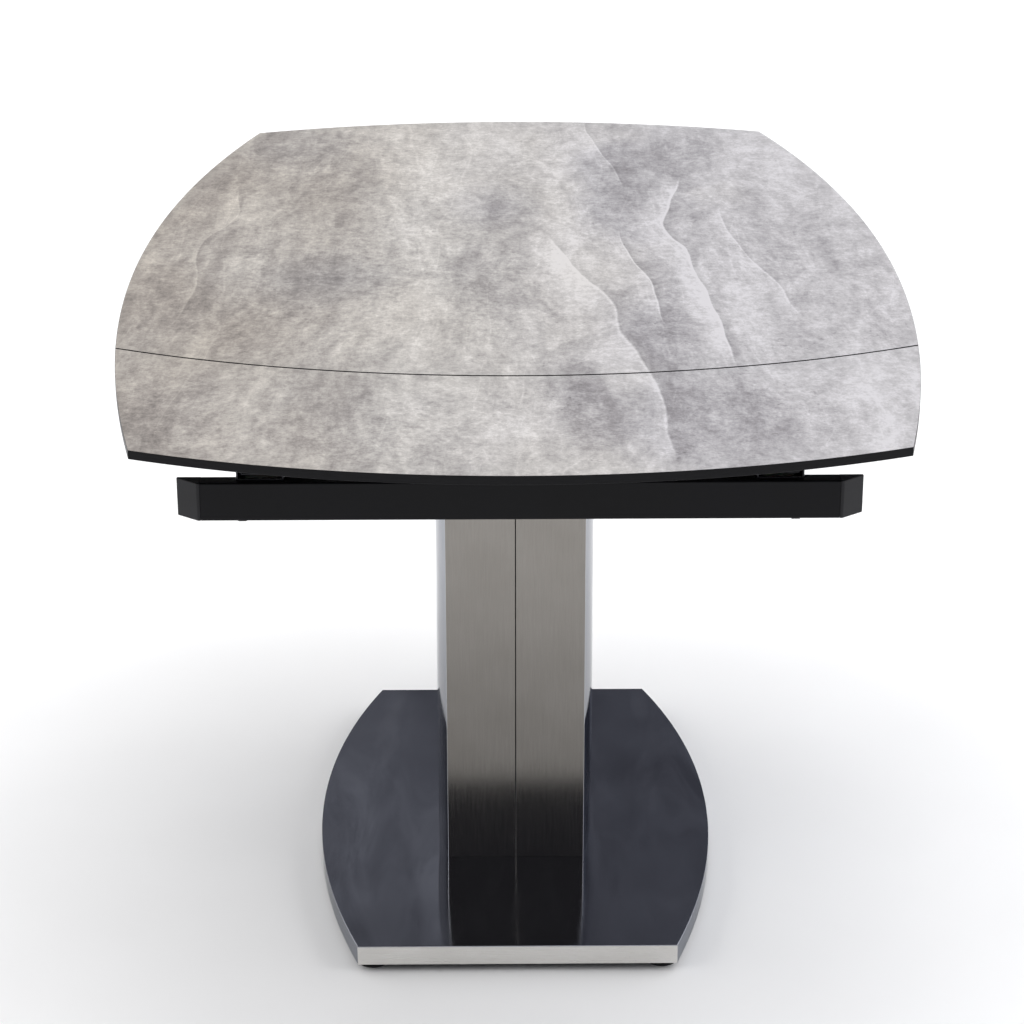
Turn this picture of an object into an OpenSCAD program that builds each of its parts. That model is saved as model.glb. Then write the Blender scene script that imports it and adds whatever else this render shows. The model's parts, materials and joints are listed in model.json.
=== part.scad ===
// Extending pedestal dining table. The top is a barrel-shaped main top with an end leaf that draws out
// on two telescopic runners, and an insert leaf that lies under the main top and travels with it.
// Origin: on the floor under the middle of the closed top. +Y runs along the table, away from the end
// leaf, +X is across it and +Z is up. Millimetres.

/* [Top] */
// Length of the closed top, tip to tip
top_l = 1600; // [1560:10:1700]
// Greatest width of the top
top_w = 888; // [870:2:920]
// Height of the top surface above the floor
top_h = 760; // [740:5:780]
// Radius of the long sides
side_r = 3300; // [3100:50:3600]
// Radius of both ends and of the joint between the two tops
end_r = 900; // [880:10:960]
// Thickness of the stone sheet
stone_t = 3; // [2:0.5:4]
// Thickness of the black board that carries the stone
board_t = 6; // [5.5:0.5:7]

/* [Leaves] */
// Depth of the end leaf on the centre line
end_leaf_l = 308; // [300:2:320]
// Travel of the end leaf, which is also the depth of the insert leaf
travel = 400; // [360:10:410]
// Width of the joint between the main top and the end leaf
seam_gap = 3; // [2:0.2:4]
// Clear height between the insert leaf and the bars above it
leaf_gap = 1.5; // [1:0.25:2]
// Diameter of the brass pins that line up the leaves
dowel_d = 3; // [2.5:0.1:3.2]

/* [Frame] */
// Height of the frame tubes
frame_h = 38; // [34:1:42]
// Width of the frame tubes
frame_w = 40; // [36:1:40]
// Wall of the frame tubes
frame_wall = 2; // [1.5:0.25:3]
// Distance from the middle of the table to the outer face of each end beam
beam_y = 680; // [676:1:688]
// Depth of each end beam's tube
beam_d = 20; // [18:1:24]
// Overall width of each end beam with its caps
beam_w = 656; // [640:2:680]
// Distance from the middle of the table to the middle of each side rail and runner
rail_x = 247.5; // [240:0.5:255]
// Distance from the middle of the table to each cross beam
cross_y = 115; // [110:1:125]

/* [Runners] */
// Height of the fixed channel
runner_h = 16; // [15:0.5:17]
// Width of the fixed channel
runner_w = 45; // [44:0.5:48]
// Length of each sliding member
runner_l = 500; // [480:10:520]

/* [Column] */
// Width of the flat front and rear faces
col_face_w = 166; // [156:2:176]
// Greatest width across the bulging sides
col_w = 195; // [185:1:205]
// Depth from front to rear
col_d = 289; // [281:2:301]
// Thickness of the stainless sheet
skin_t = 1.2; // [1:0.1:1.5]
// Gap between the two strips of each flat face
strip_gap = 1; // [0.6:0.1:1.6]

/* [Base] */
// Length of the base
base_l = 727; // [707:2:767]
// Greatest width of the base
base_w = 492; // [472:2:512]
// Radius of the long sides of the base
base_side_r = 1107; // [1080:5:1200]
// Thickness of the base
base_t = 24; // [22:0.5:26]
// Distance from the floor to the underside of the base
base_gap = 10; // [9:0.5:12]

/* [Feet] */
// Distance of each foot from the middle, across the table
foot_x = 168; // [150:1:168]
// Distance of each foot from the middle, along the table
foot_y = 335; // [300:1:335]
// Diameter of the foot pads
pad_d = 38; // [30:1:38]
// Diameter of the screwed foot stems
stem_d = 10; // [8:1:12]

/* [Latches] */
// Distance from the middle of the table to each latch pivot, along the table
latch_y = 560; // [550:1:575]
// Length of the latch handle
latch_l = 60; // [50:1:62]
// Diameter of the latch pivot
latch_pin_d = 6; // [5:0.5:7]

/* [Hidden] */

$fn = 96;
arc_fn = 720;                                  // large arcs of the outlines
hole_gap = 0.1;                                // radial gap of a fixing in its hole
fit_gap = 0.06;                                // radial gap of a running fit
eps = 0.5;                                     // overlap that makes a cut go right through

// heights, from the top down
slab_t = stone_t + board_t;
stone_z = top_h - stone_t;
slab_z = top_h - slab_t;
bar_t = 5;                                     // steel bars under the main top
insert_z = slab_z - bar_t - leaf_gap - slab_t; // underside of the insert leaf
skid_h = 5.5;
inner_rise = 2;                                // inner runner above the fixed channel
runner_top = insert_z - skid_h;
frame_top = runner_top - inner_rise - runner_h;
frame_z = frame_top - frame_h;
plate_t = 6;                                   // column head plate
column_top = frame_z - plate_t;

// base, from the floor up
under_t = 2;
weight_t = 8;
base_z = base_gap;
base_top = base_gap + base_t;
weight_z = base_z + under_t;
core_z = weight_z + weight_t;
skin_z = base_top - skin_t;
flange_t = 8;
sleeve_r = stem_d / 2 + 3;
sleeve_top = base_top - 4;
pad_t = 3;

// leaves
seam_y = -top_l / 2 + end_leaf_l;              // joint on the centre line
insert_slack = 2;
insert_w = 836;
dowel_x = [-rail_x, 0, rail_x];
dowel_z = slab_z + board_t / 2;
dowel_r = dowel_d / 2;
bush_r = dowel_r + 0.7;
dowel_out = 14;

// frame and runners
beam_in = beam_y - beam_d;
beam_tube = beam_w - 48;                       // tube between the end caps
cap_l = 24;
cap_cut = [21, 17];                            // corner cut off each end cap, across and along
channel_t = 1.5;
outer_front = -beam_y + 8;
outer_rear = outer_front + runner_l + 42;
slide_front = -beam_y + 12;
slide_rear = slide_front + runner_l;
mid_w = runner_w - 8;
mid_h = runner_h - 6;
mid_z = frame_top + 4;
inner_z = mid_z + channel_t + 2;
inner_foot_w = mid_w - 9;
inner_foot_h = mid_z + mid_h - channel_t - 0.5 - inner_z;
riser_w = 20;
glide_gap = 0.3;
glide_l = 20;
bar_front = slide_front;
bar_rear = seam_y + 30;

// column
col_side_r = (pow(col_d / 2, 2) + pow((col_w - col_face_w) / 2, 2)) / (col_w - col_face_w);
col_tube = [120, 140];
tube_wall = 4;
foot_bolts = [55, 100];
head_bolts = [100, cross_y];
bolt_r = 5;

// latches
pivot_z = frame_top - 18;
keeper_r = 26;                                 // pivot to keeper pin
keeper_pin_r = 3;
lever_t = 5;
lever_x = rail_x + frame_w / 2 + 6.5;          // inner face of each lever
lever_hw = 8;
handle_hw = 5;
slot_r = keeper_pin_r + 1.3;

// ---------------------------------------------------------------- outlines and helpers

// Mirrors its children across the table's long middle plane and keeps the original
module both_sides() {
    children();
    mirror([1, 0, 0]) children();
}

// Mirrors its children end to end and keeps the original
module both_ends() {
    children();
    mirror([0, 1, 0]) children();
}

// Long sides: the lens between two large circles
module bulged_sides(width, radius) {
    intersection() {
        translate([radius - width / 2, 0]) circle(r = radius, $fn = arc_fn);
        translate([width / 2 - radius, 0]) circle(r = radius, $fn = arc_fn);
    }
}

// Everything on the far side of an end arc whose tip is at y = tip
module behind_arc(tip) {
    translate([0, tip + end_r]) circle(r = end_r, $fn = arc_fn);
}

// Outline of the whole closed top
module top_outline() {
    intersection() {
        bulged_sides(top_w, side_r);
        behind_arc(-top_l / 2);
        mirror([0, 1]) behind_arc(-top_l / 2);
    }
}

// Outline of the base or the column, set in from its outer faces
module blunt_outline(width, length, radius, inset = 0) {
    intersection() {
        bulged_sides(width - 2 * inset, radius - inset);
        square([width, length - 2 * inset], center = true);
    }
}

module base_outline(inset = 0) {
    blunt_outline(base_w, base_l, base_side_r, inset);
}

module column_outline(inset = 0) {
    blunt_outline(col_w, col_d, col_side_r, inset);
}

// A flat sheet from height z, of thickness t, with its children's outline
module sheet(z, t) {
    translate([0, 0, z]) linear_extrude(t) children();
}

// Upright round bar or hole
module rod(x, y, z, r, h) {
    translate([x, y, z]) cylinder(r = r, h = h);
}

// Runs its children's profile, drawn as [x, z], along Y from front to rear
module along_y(front, rear) {
    translate([0, rear, 0]) rotate([90, 0, 0]) linear_extrude(rear - front) children();
}

// Open-topped channel profile with lips turned in, centred on x = 0 and standing on z = 0
module channel(width, height, wall, lip) {
    difference() {
        translate([-width / 2, 0]) square([width, height]);
        translate([-width / 2 + wall, wall]) square([width - 2 * wall, height - 2 * wall]);
        translate([-width / 2 + wall + lip, wall])
            square([width - 2 * (wall + lip), height]);
    }
}

// Rectangular tube profile, centred on x = 0 and standing on z = 0
module tube_profile(width, height, wall) {
    difference() {
        translate([-width / 2, 0]) square([width, height]);
        translate([-width / 2 + wall, wall]) square([width - 2 * wall, height - 2 * wall]);
    }
}

// Places its children at the four feet
module at_feet() {
    for (sx = [-1, 1], sy = [-1, 1])
        translate([sx * foot_x, sy * foot_y, 0]) children();
}

// Places its children at the four corners of a bolt pattern
module at_corners(half) {
    for (sx = [-1, 1], sy = [-1, 1])
        translate([sx * half[0], sy * half[1], 0]) children();
}

// Where the joint between the two tops crosses x
function seam_at(x) = seam_y + end_r - sqrt(end_r * end_r - x * x);

// Round bar or hole along Y, from the joint, at each dowel
module at_dowels(from, to, r) {
    for (x = dowel_x)
        translate([x, seam_at(x) + to, dowel_z]) rotate([90, 0, 0]) cylinder(r = r, h = to - from);
}

// ---------------------------------------------------------------- base

module base_under_plate() {
    color("#26272a") difference() {
        sheet(base_z, under_t) base_outline(skin_t);
        at_feet() rod(0, 0, base_z - eps, sleeve_r + hole_gap, under_t + 2 * eps);
    }
}

module base_weight_plate() {
    color("#55585c") difference() {
        sheet(weight_z, weight_t) base_outline(skin_t);
        at_feet() rod(0, 0, weight_z - eps, sleeve_r + hole_gap, weight_t + 2 * eps);
        at_corners(foot_bolts) rod(0, 0, weight_z - eps, bolt_r + hole_gap, weight_t + 2 * eps);
    }
}

module base_core_board() {
    color("#b08a5e") difference() {
        sheet(core_z, skin_z - core_z) base_outline(skin_t);
        at_feet() rod(0, 0, core_z - eps, sleeve_r + hole_gap, sleeve_top - core_z + eps);
        at_corners(foot_bolts) rod(0, 0, core_z - eps, bolt_r + hole_gap, base_t);
    }
}

module base_top_skin() {
    color("#8d9299") difference() {
        sheet(skin_z, skin_t) base_outline();
        at_corners(foot_bolts) rod(0, 0, skin_z - eps, bolt_r + hole_gap, skin_t + 2 * eps);
    }
}

// Straight band across one short end
module end_band() {
    sheet(base_z, skin_z - base_z) intersection() {
        base_outline();
        translate([-base_w / 2, -base_l / 2]) square([base_w, skin_t]);
    }
}

// Curved band along the -X side
module side_band() {
    sheet(base_z, skin_z - base_z) intersection() {
        difference() {
            base_outline();
            bulged_sides(base_w - 2 * skin_t, base_side_r - skin_t);
        }
        translate([-base_w / 2, -base_l / 2 + skin_t]) square([base_w / 2, base_l - 2 * skin_t]);
    }
}

module base_front_band() {
    color("#c9ccd0") end_band();
}

module base_rear_band() {
    color("#c9ccd0") mirror([0, 1, 0]) end_band();
}

module base_left_band() {
    color("#b9bdc2") side_band();
}

module base_right_band() {
    color("#b9bdc2") mirror([1, 0, 0]) side_band();
}

// ---------------------------------------------------------------- levelling feet

module foot_sleeves() {
    color("#9a9da1") at_feet() difference() {
        rod(0, 0, base_z, sleeve_r, sleeve_top - base_z);
        rod(0, 0, base_z - eps, stem_d / 2 + fit_gap, sleeve_top - base_z + 2 * eps);
    }
}

// Disc and stem of one foot
module foot_stem(sx, sy) {
    color("#3a3b3e") translate([sx * foot_x, sy * foot_y, 0]) {
        rod(0, 0, pad_t, pad_d / 2 - 2, base_z - glide_gap - pad_t);
        rod(0, 0, pad_t, stem_d / 2, sleeve_top - 2 - pad_t);
    }
}

// Rubber pad of one foot
module foot_pad(sx, sy) {
    color("#17181a") rod(sx * foot_x, sy * foot_y, 0, pad_d / 2, pad_t);
}

// ---------------------------------------------------------------- column

module column_tube() {
    color("#3d3f43") translate([0, 0, base_top + flange_t])
        linear_extrude(column_top - base_top - flange_t) difference() {
            square(col_tube, center = true);
            square([col_tube[0] - 2 * tube_wall, col_tube[1] - 2 * tube_wall], center = true);
        }
}

module column_foot_flange() {
    color("#3d3f43") difference() {
        sheet(base_top, flange_t) square([150, 250], center = true);
        at_corners(foot_bolts) rod(0, 0, base_top - eps, bolt_r + hole_gap, flange_t + 2 * eps);
    }
}

module column_head_plate() {
    color("#1b1c1e") difference() {
        sheet(column_top, plate_t) square([250, 2 * cross_y + frame_w + 30], center = true);
        at_corners(head_bolts) rod(0, 0, column_top - eps, bolt_r + hole_gap, plate_t + 2 * eps);
    }
}

// Hexagon bolt with its head's seat at z = 0 and its shank hanging down
module hex_bolt(length) {
    cylinder(r = 9.2, h = 6.4, $fn = 6);
    translate([0, 0, -length]) cylinder(r = bolt_r, h = length + 0.01);
}

module column_bolts() {
    color("#8b8e92") {
        at_corners(foot_bolts) translate([0, 0, base_top + flange_t])
            hex_bolt(base_top + flange_t - weight_z - 1);
        at_corners(head_bolts) translate([0, 0, column_top]) mirror([0, 0, 1]) hex_bolt(24);
    }
}

// Three boards that space the stainless sheets off the tube
module column_formers() {
    former_t = 12;
    color("#b08a5e") for (z = [base_top + 26, (base_top + column_top) / 2, column_top - 40])
        translate([0, 0, z]) linear_extrude(former_t) difference() {
            column_outline(skin_t + hole_gap);
            square([col_tube[0] + 0.4, col_tube[1] + 0.4], center = true);
        }
}

// One flat strip of the -Y face, on the -X side of its seam
module face_strip() {
    strip_w = (col_face_w - strip_gap) / 2;
    translate([-col_face_w / 2, -col_d / 2, base_top]) cube([strip_w, skin_t, column_top - base_top]);
}

// Bulging sheet of the -X side
module side_panel() {
    sheet(base_top, column_top - base_top) intersection() {
        difference() {
            column_outline();
            bulged_sides(col_w - 2 * skin_t, col_side_r - skin_t);
        }
        translate([-col_w / 2, -col_d / 2 + skin_t]) square([col_w / 2, col_d - 2 * skin_t]);
    }
}

module column_front_strip_left() {
    color("#a9a7a3") face_strip();
}

module column_front_strip_right() {
    color("#a9a7a3") mirror([1, 0, 0]) face_strip();
}

module column_rear_strips() {
    color("#a9a7a3") both_sides() mirror([0, 1, 0]) face_strip();
}

module column_left_panel() {
    color("#d3d5d8") side_panel();
}

module column_right_panel() {
    color("#d3d5d8") mirror([1, 0, 0]) side_panel();
}

// ---------------------------------------------------------------- frame

module frame_end_beams() {
    color("#1b1c1e") both_ends() translate([-beam_tube / 2, -beam_y + beam_d / 2, frame_z])
        rotate([90, 0, 90]) linear_extrude(beam_tube) tube_profile(beam_d, frame_h, frame_wall);
}

// Plastic cap with a cut corner and a plug that fills the end of the tube
module end_cap() {
    plug_l = 18;
    plug_gap = frame_wall + 0.15;
    x0 = beam_tube / 2;
    translate([0, 0, frame_z]) linear_extrude(frame_h)
        polygon([[x0, -beam_y], [x0 + cap_l - cap_cut[0], -beam_y], [x0 + cap_l, -beam_y + cap_cut[1]],
                 [x0 + cap_l, -beam_in], [x0, -beam_in]]);
    translate([x0 - plug_l, -beam_y + plug_gap, frame_z + plug_gap])
        cube([plug_l + 1, beam_d - 2 * plug_gap, frame_h - 2 * plug_gap]);
}

module frame_end_caps() {
    color("#1b1c1e") both_sides() both_ends() end_cap();
}

module runner_screw_holes() {
    for (y = [outer_front + 62, outer_rear - 10])
        rod(rail_x, y, frame_top - 3 * frame_wall, 2.5 + hole_gap, 4 * frame_wall);
}

module frame_side_rails() {
    color("#1b1c1e") both_sides() difference() {
        translate([rail_x, 0, frame_z]) along_y(-beam_in, beam_in)
            tube_profile(frame_w, frame_h, frame_wall);
        runner_screw_holes();
    }
}

module frame_cross_beams() {
    span = 2 * rail_x - frame_w;
    color("#1b1c1e") both_ends() difference() {
        translate([-span / 2, -cross_y, frame_z]) rotate([90, 0, 90])
            linear_extrude(span) tube_profile(frame_w, frame_h, frame_wall);
        both_sides() rod(head_bolts[0], -cross_y, frame_z - eps, bolt_r + hole_gap, frame_wall + 2 * eps);
    }
}

// ---------------------------------------------------------------- runners

module runner_outers() {
    color("#232427") both_sides() difference() {
        translate([rail_x, 0, frame_top]) along_y(outer_front, outer_rear)
            channel(runner_w, runner_h, channel_t, 4.5);
        runner_screw_holes();
    }
}

module runner_screws() {
    color("#a5a7aa") both_sides() for (y = [outer_front + 62, outer_rear - 10]) {
        rod(rail_x, y, frame_top - 8, 2.5, 8 + channel_t);
        rod(rail_x, y, frame_top + channel_t, 5, 1.5);
    }
}

module runner_buffers() {
    color("#17181a") both_sides()
        translate([rail_x - 11, slide_rear + 6, frame_top + channel_t]) cube([22, 10, 10]);
}

// Middle member on the +X side
module runner_mid() {
    translate([rail_x, 0, mid_z]) along_y(slide_front, slide_rear) channel(mid_w, mid_h, channel_t, 4);
}

module runner_mid_left() {
    color("#232427") mirror([1, 0, 0]) runner_mid();
}

module runner_mid_right() {
    color("#232427") runner_mid();
}

// Nylon pads under and beside a member, at its front and rear
module glides(z, under, beside, foot_w, side_h) {
    for (y = [slide_front + 8, slide_rear - 8 - glide_l]) {
        translate([rail_x - foot_w / 2 + 3, y, z - under]) cube([foot_w - 6, glide_l, under]);
        for (side = [-1, 1])
            translate([rail_x + side * (foot_w + beside) / 2 - beside / 2, y, z + 0.5])
                cube([beside, glide_l, side_h]);
    }
}

module runner_mid_glides() {
    under = mid_z - frame_top - channel_t - glide_gap;
    beside = (runner_w - mid_w) / 2 - channel_t - glide_gap;
    glides(mid_z, under, beside, mid_w, mid_h - 1.5);
}

module runner_glides_left() {
    color("#e6e4dc") mirror([1, 0, 0]) runner_mid_glides();
}

module runner_glides_right() {
    color("#e6e4dc") runner_mid_glides();
}

// Inner members: a foot held under the lips, and a riser that stands out between them
module runner_inners() {
    color("#232427") both_sides() translate([rail_x, 0, inner_z]) along_y(slide_front, slide_rear) {
        translate([-inner_foot_w / 2, 0]) square([inner_foot_w, inner_foot_h]);
        translate([-riser_w / 2, 0]) square([riser_w, runner_top - inner_z]);
    }
}

module runner_inner_glides() {
    beside = (mid_w - inner_foot_w) / 2 - channel_t - glide_gap;
    color("#e6e4dc") both_sides()
        glides(inner_z, inner_z - mid_z - channel_t - glide_gap, beside, inner_foot_w, inner_foot_h - 0.5);
}

// ---------------------------------------------------------------- main top

module main_outline() {
    intersection() {
        top_outline();
        behind_arc(seam_y + seam_gap / 2);
    }
}

module main_board() {
    color("#1d1d1f") difference() {
        sheet(slab_z, board_t) main_outline();
        at_dowels(0, dowel_out + 1, bush_r + 0.05);
    }
}

module main_stone() {
    color("#b3b1ae") sheet(stone_z, stone_t) main_outline();
}

module main_support_bars() {
    color("#1b1c1e") both_sides()
        translate([rail_x - 25, seam_y + 52, slab_z - bar_t]) cube([50, beam_in - seam_y - 52, bar_t]);
}

// Blocks that lift the main top above the path of the insert leaf
module main_spacers() {
    color("#1b1c1e") both_sides() for (y = [-35, 290, beam_in - 50])
        translate([rail_x - 15, y, frame_top]) cube([30, 50, slab_z - bar_t - frame_top]);
}

module main_dowel_bushes() {
    color("#b9964f") difference() {
        at_dowels(seam_gap, dowel_out + 1, bush_r);
        at_dowels(seam_gap - eps, dowel_out + 1 + eps, dowel_r + fit_gap);
    }
}

// Soft strip along the edge of the main top, set below the surface
module seam_gasket() {
    gasket_t = seam_gap / 2 - 0.4;
    color("#101011") difference() {
        sheet(slab_z, board_t - 0.5) intersection() {
            difference() {
                behind_arc(seam_y + seam_gap / 2 - gasket_t);
                behind_arc(seam_y + seam_gap / 2);
            }
            square([insert_w - 6, 2 * top_l], center = true);
        }
        at_dowels(-seam_gap, seam_gap, dowel_r + 0.4);
    }
}

// ---------------------------------------------------------------- end leaf

module end_outline() {
    difference() {
        top_outline();
        behind_arc(seam_y - seam_gap / 2);
    }
}

module end_board() {
    color("#1d1d1f") difference() {
        sheet(slab_z, board_t) end_outline();
        at_dowels(-dowel_out - 0.5, 0, dowel_r + 0.05);
    }
}

module end_stone() {
    color("#b3b1ae") sheet(stone_z, stone_t) end_outline();
}

module end_spacer_bars() {
    color("#1b1c1e") both_sides() translate([rail_x - riser_w / 2, bar_front, runner_top])
        cube([riser_w, bar_rear - bar_front, slab_z - runner_top]);
}

module end_cross_bar() {
    span = 2 * rail_x - riser_w;
    color("#1b1c1e") translate([-span / 2, bar_front + 30, slab_z - 10]) cube([span, 30, 10]);
}

module end_dowels() {
    color("#b9964f") at_dowels(-dowel_out, dowel_out - 2, dowel_r);
}

// Bracket on the outer side of each spacer bar, with the pin that the latch grips
module end_keepers() {
    leg_t = 3;
    leg_x = rail_x + riser_w / 2;
    cheek_x = lever_x + lever_t + 4;
    pin_z = pivot_z + keeper_r;
    color("#8b8e92") both_sides() {
        translate([leg_x, -latch_y - 8, runner_top]) cube([cheek_x + leg_t - leg_x, 16, leg_t]);
        translate([cheek_x, -latch_y - 8, pin_z - 5]) cube([leg_t, 16, runner_top + leg_t - pin_z + 5]);
        translate([lever_x - 1, -latch_y, pin_z]) rotate([0, 90, 0])
            cylinder(r = keeper_pin_r, h = cheek_x - lever_x + 1.5);
    }
}

// ---------------------------------------------------------------- insert leaf

module insert_outline() {
    intersection() {
        difference() {
            behind_arc(seam_y + insert_slack / 2);
            behind_arc(seam_y + travel - insert_slack / 2);
        }
        square([insert_w, 2 * top_l], center = true);
        translate([-insert_w, seam_y - 10]) square([2 * insert_w, travel + 200]);
    }
}

module insert_board() {
    color("#1d1d1f") sheet(insert_z, board_t) insert_outline();
}

module insert_stone() {
    color("#b3b1ae") sheet(insert_z + board_t, stone_t) insert_outline();
}

module insert_skids() {
    skid_front = seam_y + 52;
    color("#e6e4dc") both_sides() translate([rail_x - riser_w / 2, skid_front, runner_top])
        cube([riser_w, slide_rear - 12 - skid_front, skid_h]);
}

// ---------------------------------------------------------------- latches

// Round bar or hole along +X
module cross_rod(x, r, h) {
    translate([x, -latch_y, pivot_z]) rotate([0, 90, 0]) cylinder(r = r, h = h);
}

// Plate on the side rail, with a shouldered pivot pin
module latch_bracket() {
    plate_x = rail_x + frame_w / 2;
    translate([plate_x, -latch_y - 14, pivot_z - 12]) cube([4, 28, 24]);
    cross_rod(plate_x + 3, 5.5, lever_x - plate_x - 3 - glide_gap);
    cross_rod(plate_x + 3, latch_pin_d / 2, lever_x + lever_t + 2 - plate_x - 3);
    cross_rod(lever_x + lever_t + glide_gap, 5.5, 2);
}

module latch_brackets() {
    color("#8b8e92") both_sides() latch_bracket();
}

// Cranked lever in its open place: the hook points to +Y with its mouth up, and the handle hangs down
module latch_lever() {
    hook_l = keeper_r + slot_r + 3;
    color("#75787c") difference() {
        translate([lever_x, -latch_y, pivot_z]) rotate([90, 0, 90]) linear_extrude(lever_t)
            difference() {
                union() {
                    circle(r = lever_hw);
                    translate([0, -lever_hw]) square([hook_l, 2 * lever_hw]);
                    translate([-handle_hw, -latch_l]) square([2 * handle_hw, latch_l]);
                }
                translate([keeper_r - slot_r, -slot_r]) square([2 * slot_r, slot_r + lever_hw + 1]);
            }
        cross_rod(lever_x - 1, latch_pin_d / 2 + fit_gap, lever_t + 2);
    }
}

module latch_lever_left() {
    mirror([1, 0, 0]) latch_lever();
}

module latch_lever_right() {
    latch_lever();
}

// Sleeve on the end of the handle
module latch_grip() {
    grip_l = 34;
    wall = 2;
    color("#17181a") difference() {
        translate([lever_x - wall, -latch_y - handle_hw - wall, pivot_z - latch_l - wall])
            cube([lever_t + 2 * wall, 2 * (handle_hw + wall), grip_l]);
        translate([lever_x, -latch_y - handle_hw, pivot_z - latch_l]) cube([lever_t, 2 * handle_hw, grip_l]);
    }
}

module latch_grip_left() {
    mirror([1, 0, 0]) latch_grip();
}

module latch_grip_right() {
    latch_grip();
}

// ---------------------------------------------------------------- drawing

base_under_plate();
base_weight_plate();
base_core_board();
base_top_skin();
base_front_band();
base_rear_band();
base_left_band();
base_right_band();
foot_sleeves();
foot_stem(-1, -1);  // foot_stem_front_left
foot_stem(1, -1);  // foot_stem_front_right
foot_stem(-1, 1);  // foot_stem_rear_left
foot_stem(1, 1);  // foot_stem_rear_right
foot_pad(-1, -1);  // foot_pad_front_left
foot_pad(1, -1);  // foot_pad_front_right
foot_pad(-1, 1);  // foot_pad_rear_left
foot_pad(1, 1);  // foot_pad_rear_right
column_tube();
column_foot_flange();
column_head_plate();
column_bolts();
column_formers();
column_front_strip_left();
column_front_strip_right();
column_rear_strips();
column_left_panel();
column_right_panel();
frame_end_beams();
frame_side_rails();
frame_cross_beams();
frame_end_caps();
runner_outers();
runner_screws();
runner_buffers();
runner_mid_left();
runner_mid_right();
runner_glides_left();
runner_glides_right();
runner_inners();
runner_inner_glides();
main_board();
main_stone();
main_support_bars();
main_spacers();
main_dowel_bushes();
seam_gasket();
end_board();
end_stone();
end_spacer_bars();
end_cross_bar();
end_dowels();
end_keepers();
insert_board();
insert_stone();
insert_skids();
latch_brackets();
latch_lever_left();
latch_lever_right();
latch_grip_left();
latch_grip_right();
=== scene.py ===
"""An extending pedestal table with a stone-look top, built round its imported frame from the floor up."""

import json
import math

import bmesh
import bpy
from mathutils import Matrix, Vector
from mathutils.geometry import intersect_sphere_sphere_2d

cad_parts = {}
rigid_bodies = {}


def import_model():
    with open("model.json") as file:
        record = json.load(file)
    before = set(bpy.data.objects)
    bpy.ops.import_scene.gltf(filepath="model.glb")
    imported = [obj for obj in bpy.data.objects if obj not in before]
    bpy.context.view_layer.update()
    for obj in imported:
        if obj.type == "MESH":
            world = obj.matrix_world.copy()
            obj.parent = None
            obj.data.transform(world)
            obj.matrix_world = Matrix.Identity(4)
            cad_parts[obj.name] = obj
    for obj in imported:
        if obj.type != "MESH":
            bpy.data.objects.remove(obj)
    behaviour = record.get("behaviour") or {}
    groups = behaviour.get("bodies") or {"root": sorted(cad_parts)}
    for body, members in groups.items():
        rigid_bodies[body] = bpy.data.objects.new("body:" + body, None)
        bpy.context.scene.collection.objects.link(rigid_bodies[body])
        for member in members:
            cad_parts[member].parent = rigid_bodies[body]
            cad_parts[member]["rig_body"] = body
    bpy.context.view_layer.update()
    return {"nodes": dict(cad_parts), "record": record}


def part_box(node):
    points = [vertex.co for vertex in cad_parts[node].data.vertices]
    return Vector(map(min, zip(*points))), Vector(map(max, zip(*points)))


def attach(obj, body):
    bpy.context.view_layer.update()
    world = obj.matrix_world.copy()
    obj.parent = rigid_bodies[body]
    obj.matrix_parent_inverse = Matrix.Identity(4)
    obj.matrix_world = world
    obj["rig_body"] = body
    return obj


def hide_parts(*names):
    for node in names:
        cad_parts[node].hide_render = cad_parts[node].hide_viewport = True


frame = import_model()

# ---------------------------------------------------------------------------------------------------
# Under plate of the base
# The lowest layer of the base is a 2 mm steel plate, laser cut with four holes for the feet and powder
# coated black. The coat is baked on, so it is a satin black skin with a faint orange peel.

MM = 0.001
TOUCHING = 0.001 * MM


def linear(colour):
    """An sRGB hex colour as the linear RGBA that a shader takes."""
    parts = [int(colour[i:i + 2], 16) / 255 for i in (1, 3, 5)]
    return [p / 12.92 if p <= 0.04045 else ((p + 0.055) / 1.055) ** 2.4 for p in parts] + [1.0]


def per_metre(size_mm):
    """The scale of a pattern whose grains are this many millimetres apart."""
    return 1000 / size_mm


def surface(name, colour, roughness, metallic=0.0, **sockets):
    """A new material with its shader set. Its patterns are added by the section that makes it."""
    material = bpy.data.materials.new(name)
    material.use_nodes = True
    shader = material.node_tree.nodes["Principled BSDF"]
    shader.inputs["Base Color"].default_value = linear(colour)
    shader.inputs["Roughness"].default_value = roughness
    shader.inputs["Metallic"].default_value = metallic
    for socket, value in sockets.items():
        shader.inputs[socket.replace("_", " ")].default_value = value
    return material


def add(owner, kind, settings=None, links=None):
    """Adds one shader node to a material, world or light, with its settings and what feeds its sockets."""
    made = owner.node_tree.nodes.new("ShaderNode" + kind)
    for key, value in (settings or {}).items():
        if key == "stops":
            ramp = made.color_ramp.elements
            while len(ramp) < len(value):
                ramp.new(0.5)
            for stop, (position, colour) in zip(ramp, value):
                stop.position = position
                stop.color = linear(colour) if isinstance(colour, str) else [colour] * 3 + [1.0]
        elif isinstance(key, str) and key.islower():
            setattr(made, key, value)
        else:
            made.inputs[key].default_value = value
    for key, socket in (links or {}).items():
        owner.node_tree.links.new(socket, made.inputs[key])
    return made


def feed(material, **sockets):
    """Links patterns into the shader of a material."""
    shader = material.node_tree.nodes["Principled BSDF"]
    for socket, source in sockets.items():
        material.node_tree.links.new(source, shader.inputs[socket.replace("_", " ")])


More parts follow.
